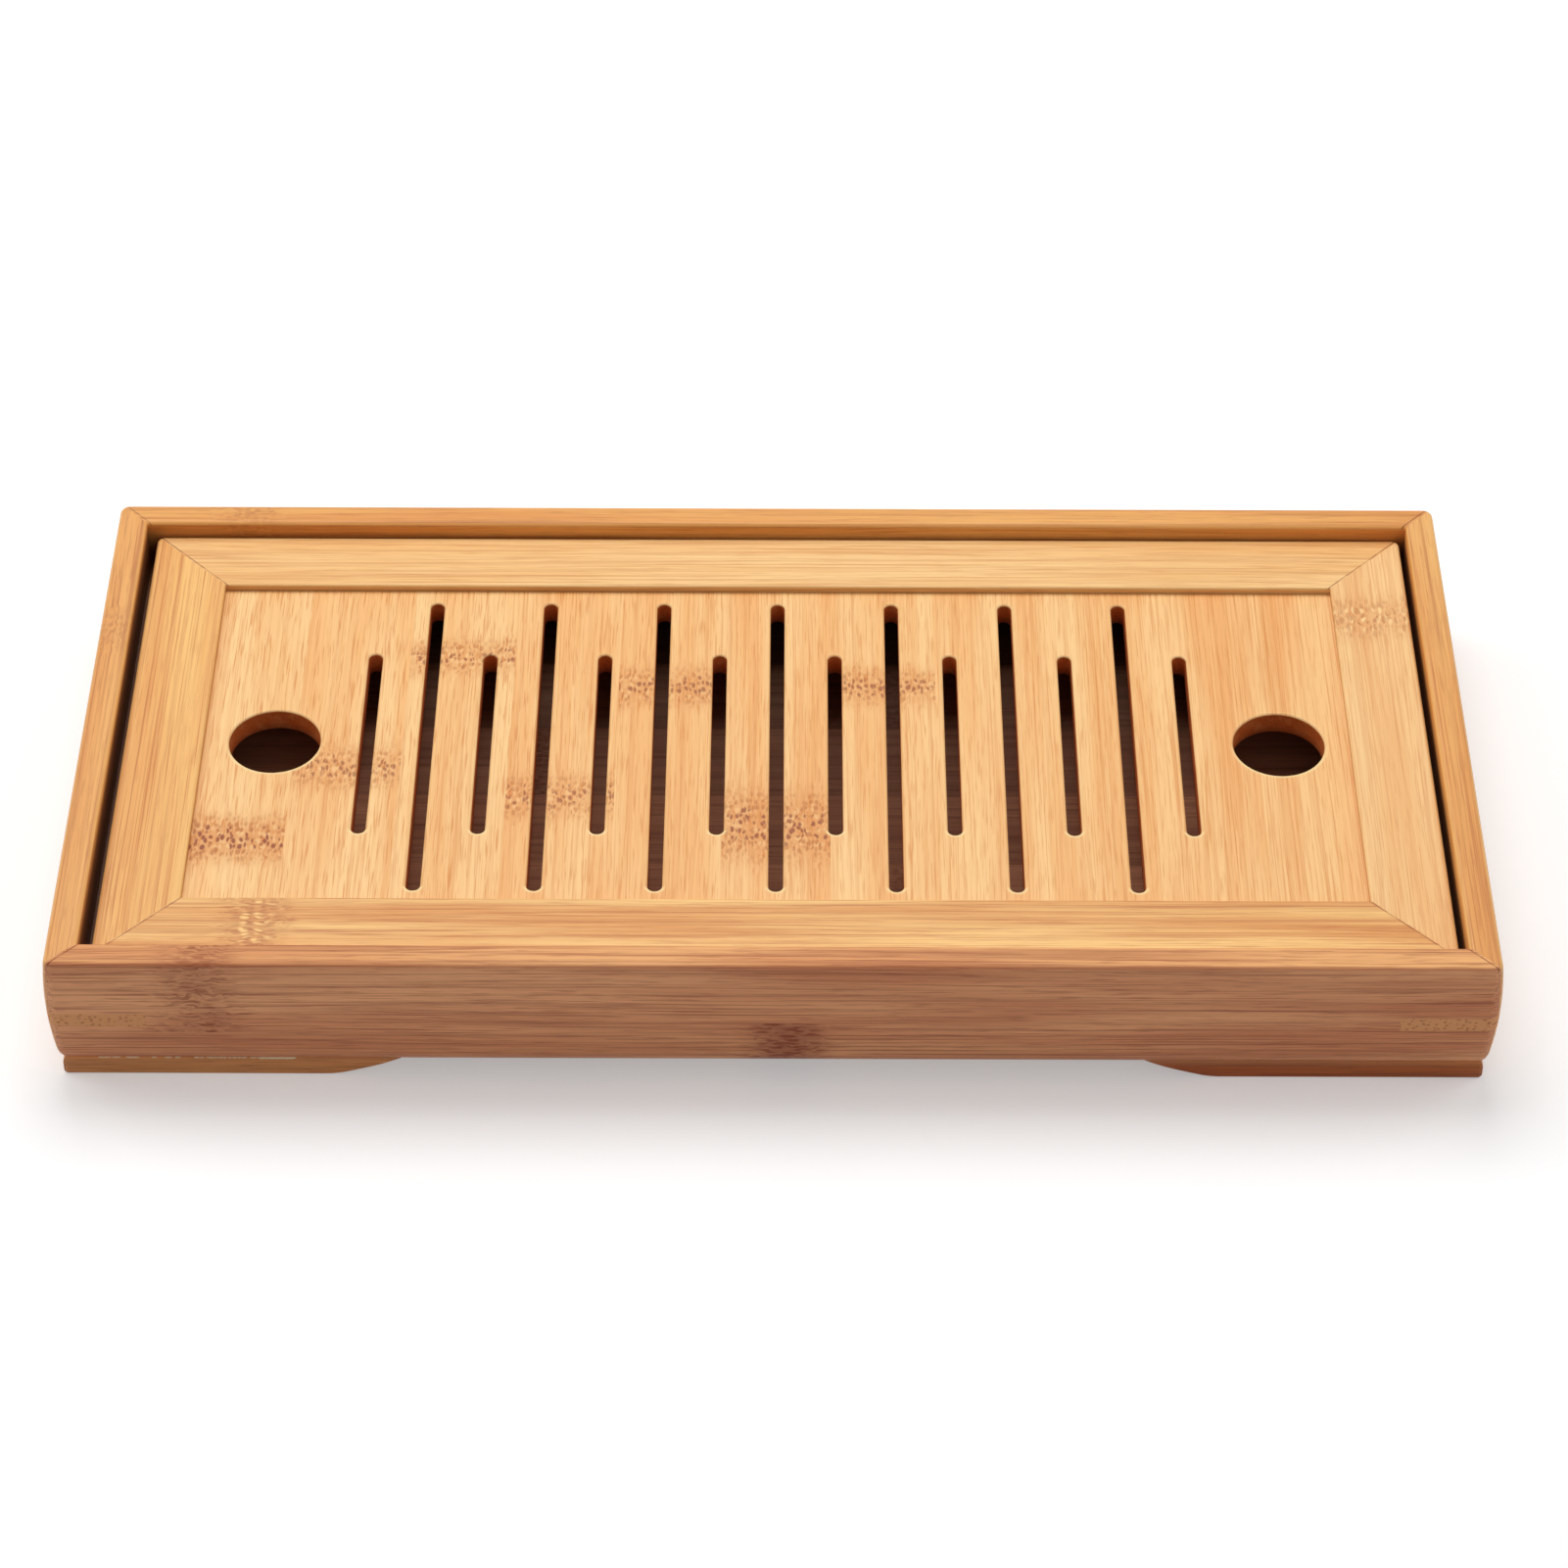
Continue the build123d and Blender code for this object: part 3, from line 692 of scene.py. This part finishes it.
# Panel strips: eleven flat strips glued side by side and held by a tongue in the rails' groove. The
# long and short slots and the two finger holes were routed through the glued-up board, and their
# mouths rounded over. Each strip was a slat of its own cane, so its knuckle, tone and fibre differ.
def routed_strip():
    """One strip of the board: a plank with a tongue, less the slots and holes that fall on it."""
    tree, given, result = tree_of("routed_strip", (
        ("Middle", "Float"), ("Width", "Float"), ("Board Middle", "Float"), ("Board Length", "Float"),
        ("Board Depth", "Float"), ("Shown Length", "Float"), ("Shown Depth", "Float"), ("Top", "Float"),
        ("Thickness", "Float"), ("Tongue Thickness", "Float"), ("Slot Pitch", "Float"),
        ("Slot Width", "Float"), ("Long Slot", "Float"), ("Short Slot", "Float"), ("Slots Each Side", "Int"),
        ("Hole Reach", "Float"), ("Hole Width", "Float"), ("Mouth Round", "Float"), ("Bamboo", "Material")))
    math = maths(tree)

    def at(x, y, z):
        return add_node(tree, "ShaderNodeCombineXYZ", {0: x, 1: y, 2: z}).outputs[0]

    def block(x, y, z, length, depth, height):
        cube = add_node(tree, "GeometryNodeMeshCube", {"Size": at(length, depth, height)}).outputs[0]
        return add_node(tree, "GeometryNodeTransform", {0: cube, "Translation": at(x, y, z)}).outputs[0]

    beyond = 2 * millimetre
    plank = block(given["Middle"], 0.0, math("MULTIPLY_ADD", given["Thickness"], -0.5, given["Top"]),
                  given["Width"], given["Board Depth"], given["Thickness"])

    def rebate(axis, side):
        """What is cut from under the tongue at one edge of the board."""
        size = {"X": "Length", "Y": "Depth"}[axis]
        shown = math("MULTIPLY", given["Shown " + size], side / 2)
        board = math("MULTIPLY", given["Board " + size], side / 2)
        outer = math("ADD", board, side * beyond)
        middle = math("MULTIPLY", math("ADD", shown, outer), 0.5)
        width = math("ABSOLUTE", math("SUBTRACT", outer, shown))
        high = math("SUBTRACT", given["Top"], given["Tongue Thickness"])
        low = math("SUBTRACT", math("SUBTRACT", given["Top"], given["Thickness"]), beyond)
        height = math("SUBTRACT", high, low)
        level = math("MULTIPLY", math("ADD", high, low), 0.5)
        if axis == "Y":
            length = math("ADD", given["Width"], 2 * beyond)
            return block(given["Middle"], middle, level, length, width, height)
        along = math("ADD", given["Board Middle"], middle)
        return block(along, 0.0, level, width, math("ADD", given["Board Depth"], 2 * beyond), height)

    # The router bit's profile at the mouth, as heights and widenings in shares of the mouth's rounding: an
    # upright ring, the turn in three steps, and the last of them carried on until it clears the board
    mouth_shares = ((-0.5, 0.0), (0.0, 0.0), (0.5, 0.134), (0.866, 0.5), (1.134, 1.5))
    whole_end, same_corner, same_spot = 0.4999, 0.01 * millimetre, 0.002 * millimetre

    def cutter(length, width, corner_steps):
        """The router bit's path: an upright cut with round ends that flares at the mouth."""
        outline = add_node(tree, "GeometryNodeCurvePrimitiveQuadrilateral", {0: width, 1: length}).outputs[0]
        rounded = add_node(tree, "GeometryNodeFilletCurve", {
            "Curve": outline, "Count": corner_steps, "Radius": math("MULTIPLY", width, whole_end),
            "Limit Radius": True}, mode="POLY")
        low = math("SUBTRACT", math("SUBTRACT", given["Top"], given["Thickness"]), beyond)
        filled = add_node(tree, "GeometryNodeFillCurve", {0: rounded.outputs[0]}, mode="NGONS").outputs[0]
        whole = add_node(tree, "GeometryNodeMergeByDistance", {0: filled, "Distance": same_corner})
        base = add_node(tree, "GeometryNodeTransform", {0: whole.outputs[0],
                                                        "Translation": at(0.0, 0.0, low)}).outputs[0]
        spot = add_node(tree, "GeometryNodeInputPosition", {}).outputs[0]
        parts = add_node(tree, "ShaderNodeSeparateXYZ", {0: spot}).outputs
        straight = math("MULTIPLY", math("SUBTRACT", length, width), 0.5)
        nearest = math("MAXIMUM", math("MINIMUM", parts[1], straight), math("MULTIPLY", straight, -1.0))
        off_middle = at(parts[0], math("SUBTRACT", parts[1], nearest), 0.0)
        away = add_node(tree, "ShaderNodeVectorMath", {0: off_middle}, operation="NORMALIZE").outputs[0]
        made, top, (height, out) = base, True, mouth_shares[0]
        upright = math("MULTIPLY_ADD", given["Mouth Round"], height - 1,
                       math("ADD", given["Thickness"], beyond))
        for rise_to, out_to in mouth_shares:
            step = upright if made is base else math("MULTIPLY", given["Mouth Round"], rise_to - height)
            pushed = add_node(tree, "GeometryNodeExtrudeMesh", {
                "Mesh": made, "Selection": top, "Offset": (0, 0, 1), "Offset Scale": step,
                "Individual": False})
            made, top = pushed.outputs["Mesh"], pushed.outputs["Top"]
            if out_to > out:
                spread = math("MULTIPLY", given["Mouth Round"], out_to - out)
                shift = add_node(tree, "ShaderNodeVectorMath", {0: away, "Scale": spread},
                                 operation="SCALE").outputs[0]
                made = add_node(tree, "GeometryNodeSetPosition", {0: made, "Selection": top,
                                                                  "Offset": shift}).outputs[0]
            height, out = rise_to, out_to
        under = add_node(tree, "GeometryNodeFlipFaces", {0: base}).outputs[0]
        both = tree.nodes.new("GeometryNodeJoinGeometry")
        tree.links.new(under, both.inputs[0])
        tree.links.new(made, both.inputs[0])
        return add_node(tree, "GeometryNodeMergeByDistance", {0: both.outputs[0],
                                                              "Distance": same_spot}).outputs[0]

    def row(bit, first, step, count):
        """The same cut again and again along the board."""
        line = add_node(tree, "GeometryNodeMeshLine", {
            "Count": count, "Start Location": at(math("ADD", given["Board Middle"], first), 0.0, 0.0),
            "Offset": at(step, 0.0, 0.0)}, mode="OFFSET")
        copies = add_node(tree, "GeometryNodeInstanceOnPoints", {"Points": line.outputs[0], "Instance": bit})
        return add_node(tree, "GeometryNodeRealizeInstances", {0: copies.outputs[0]}).outputs[0]

    pitch = given["Slot Pitch"]
    twice = math("MULTIPLY", pitch, 2.0)
    last_short = math("MULTIPLY", given["Slots Each Side"], pitch)
    last_long = math("SUBTRACT", last_short, pitch)
    slot_steps, hole_steps = 8, 24
    cuts = [
        row(cutter(given["Short Slot"], given["Slot Width"], slot_steps), math("MULTIPLY", last_short, -1.0),
            twice, math("ADD", given["Slots Each Side"], 1.0)),
        row(cutter(given["Long Slot"], given["Slot Width"], slot_steps), math("MULTIPLY", last_long, -1.0),
            twice, given["Slots Each Side"]),
        row(cutter(given["Hole Width"], given["Hole Width"], hole_steps),
            math("MULTIPLY", given["Hole Reach"], -1.0), math("MULTIPLY", given["Hole Reach"], 2.0), 2),
        rebate("Y", -1), rebate("Y", 1), rebate("X", -1), rebate("X", 1),
    ]
    routed = add_node(tree, "GeometryNodeMeshBoolean", {"Mesh 1": plank}, operation="DIFFERENCE",
                      solver="EXACT")
    for cut in cuts:
        tree.links.new(cut, routed.inputs["Mesh 2"])
    plain = add_node(tree, "GeometryNodeRealizeInstances", {0: routed.outputs["Mesh"]})
    painted = add_node(tree, "GeometryNodeSetMaterial", {0: plain.outputs[0], "Material": given["Bamboo"]})
    tree.links.new(painted.outputs[0], result.inputs[0])
    return tree


board_low, board_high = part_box("lid_strip_01")[0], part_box("lid_strip_11")[1]
board_length, board_depth = board_high.x - board_low.x, board_high.y - board_low.y
strip_width = board_length / 11
tongue_depth, tongue_thickness = 3.0 * millimetre, 2.6 * millimetre
shown_length, shown_depth = board_length - 2 * tongue_depth, board_depth - 2 * tongue_depth
slot_pitch_share, hole_reach_share = 0.5476, 4.698
slot_width, hole_width, mouth_round = 2.8 * millimetre, 17.9 * millimetre, 0.4 * millimetre
long_slot_margin, short_slot_margin = 3.7 * millimetre, 19.4 * millimetre
long_slot, short_slot = shown_depth - 2 * long_slot_margin, shown_depth - 2 * short_slot_margin
board_sizes = {
    "Width": strip_width, "Board Middle": (board_low.x + board_high.x) / 2, "Board Length": board_length,
    "Board Depth": board_depth, "Shown Length": shown_length, "Shown Depth": shown_depth,
    "Top": board_high.z, "Thickness": board_high.z - board_low.z, "Tongue Thickness": tongue_thickness,
    "Slot Pitch": slot_pitch_share * strip_width, "Slot Width": slot_width, "Long Slot": long_slot,
    "Short Slot": short_slot, "Slots Each Side": 7, "Hole Reach": hole_reach_share * strip_width,
    "Hole Width": hole_width, "Mouth Round": mouth_round,
}


def mouth_highlights(math, spot):
    """A painted highlight line round each slot and hole, from how far off the nearest one a spot lies.

    It is faint along the sides and at the back, and brightest round the front ends, where light catches the
    rounded mouths.
    """
    size = board_sizes
    line_width, least, most = 2.2 * mouth_round, 0.1, 0.95

    def length(x, y):
        return math("SQRT", math("ADD", math("MULTIPLY", x, x), math("MULTIPLY", y, y)))

    def held(value):
        return math("MINIMUM", math("MAXIMUM", value, 0.0), 1.0)

    aside = math("SUBTRACT", spot[0], size["Board Middle"])
    step = math("ROUND", math("DIVIDE", aside, size["Slot Pitch"]))
    off_middle = math("SUBTRACT", aside, math("MULTIPLY", step, size["Slot Pitch"]))
    odd = math("MODULO", math("ABSOLUTE", step), 2.0)
    straight_long, straight_short = (long_slot - slot_width) / 2, (short_slot - slot_width) / 2
    straight = math("MULTIPLY_ADD", odd, straight_short - straight_long, straight_long)
    past_end = math("MAXIMUM", math("SUBTRACT", math("ABSOLUTE", spot[1]), straight), 0.0)
    from_slot = math("SUBTRACT", length(off_middle, past_end), slot_width / 2)
    no_slot = math("GREATER_THAN", math("ABSOLUTE", step), size["Slots Each Side"] + 0.5)
    from_slot = math("ADD", from_slot, no_slot)
    to_hole = math("SUBTRACT", math("ABSOLUTE", aside), size["Hole Reach"])
    from_hole = math("SUBTRACT", length(to_hole, spot[1]), hole_width / 2)

    slot_front = math("DIVIDE", math("MULTIPLY", math("LESS_THAN", spot[1], 0.0), past_end), slot_width / 2)
    hole_front = math("DIVIDE", spot[1], hole_width / -2)
    at_hole = math("LESS_THAN", from_hole, from_slot)
    at_front = math("MULTIPLY_ADD", at_hole, math("SUBTRACT", hole_front, slot_front), slot_front)
    strength = math("MULTIPLY_ADD", held(math("MULTIPLY", at_front, 1.6)), most - least, least)
    inside_line = math("SUBTRACT", 1.0, math("DIVIDE", math("MINIMUM", from_slot, from_hole), line_width))
    return math("MULTIPLY", held(math("MULTIPLY", inside_line, 2.0)), strength)


def crisp(mesh, flat_area):
    """Smooth shading but for sharp edges, and for those of flat faces wider than this area."""
    hardly_bent = radians(3)
    work = bmesh.new()
    work.from_mesh(mesh)
    for face in work.faces:
        face.smooth = True
    for edge in work.edges:
        turn = edge.calc_face_angle(0.0)
        widest = max(face.calc_area() for face in edge.link_faces)
        edge.smooth = turn < crisp_turn and not (turn > hardly_bent and widest > flat_area)
    work.to_mesh(mesh)
    work.free()


strip_rule = routed_strip()
cut_level = board_high.z / millimetre
# Painted shade darkens the slot and hole walls downwards from just under the board's top, to near black
slot_shades = (painted_gap_shade("cut", cut_level - 2.2, cut_level - 6.8),)
flat_area = 2 * millimetre ** 2
# From the left, where each strip's knuckle lies, how dark and how wide it is, and how warm the strip is
strip_looks = (
    dict(knuckle=-27.8, darkness=1.0, warmth=0.0),
    dict(knuckle=-7.5, darkness=0.4, warmth=0.4),
    dict(knuckle=25.4, darkness=0.5, warmth=0.2, width=0.9),
    dict(knuckle=-15.7, darkness=0.45, warmth=0.7),
    dict(knuckle=16.5, darkness=0.5, warmth=0.5, width=0.9),
    dict(knuckle=-23.5, darkness=0.75, warmth=0.9, width=1.6),
    dict(knuckle=16.7, darkness=0.5, warmth=0.5, width=0.9),
    dict(warmth=0.8),
    dict(warmth=0.6),
    dict(warmth=1.5),
    dict(warmth=1.7),
)
for number, looks in enumerate(strip_looks, start=1):
    name = "lid_strip_%02d" % number
    left_share = 1 - (number - 1) / (len(strip_looks) - 1)
    warmth, darkness = looks["warmth"], looks.get("darkness", 0)
    # The mouths of the cuts get a painted highlight line, brightest round their front ends
    finish = bamboo("panel_bamboo_%02d" % number, "Y", 60.0 + number,
                    pale=(254, 209 - 3 * warmth, 144 - 4 * warmth),
                    body=(248 - 2 * warmth, 190 - 8 * warmth, 120 - 8 * warmth), dark=(214, 128, 46),
                    end=(198, 94, 30), edge=(255, 222, 158), speck=shade(136, 54, 8), stained=(30, 14, 7),
                    stains=slot_shades, routed=mouth_highlights, wear_highlight_share=0.3, relief=0.008,
                    knuckles=(looks["knuckle"],) if "knuckle" in looks else (),
                    knuckle_width=looks.get("width", 1.0), knuckle_share=0.35 + 0.6 * darkness,
                    speck_share=0.35 + 0.5 * darkness, dash_share=0.35 + 0.35 * left_share,
                    streak_share=0.3, hairline_share=0.6 - 0.25 * left_share)
    low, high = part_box(name)
    own_sizes = {**board_sizes, "Middle": (low.x + high.x) / 2, "Bamboo": finish}
    mesh = made_by(strip_rule, name + "_routed", own_sizes)
    crisp(mesh, flat_area)
    finished(name + "_routed", mesh, "lid", name)
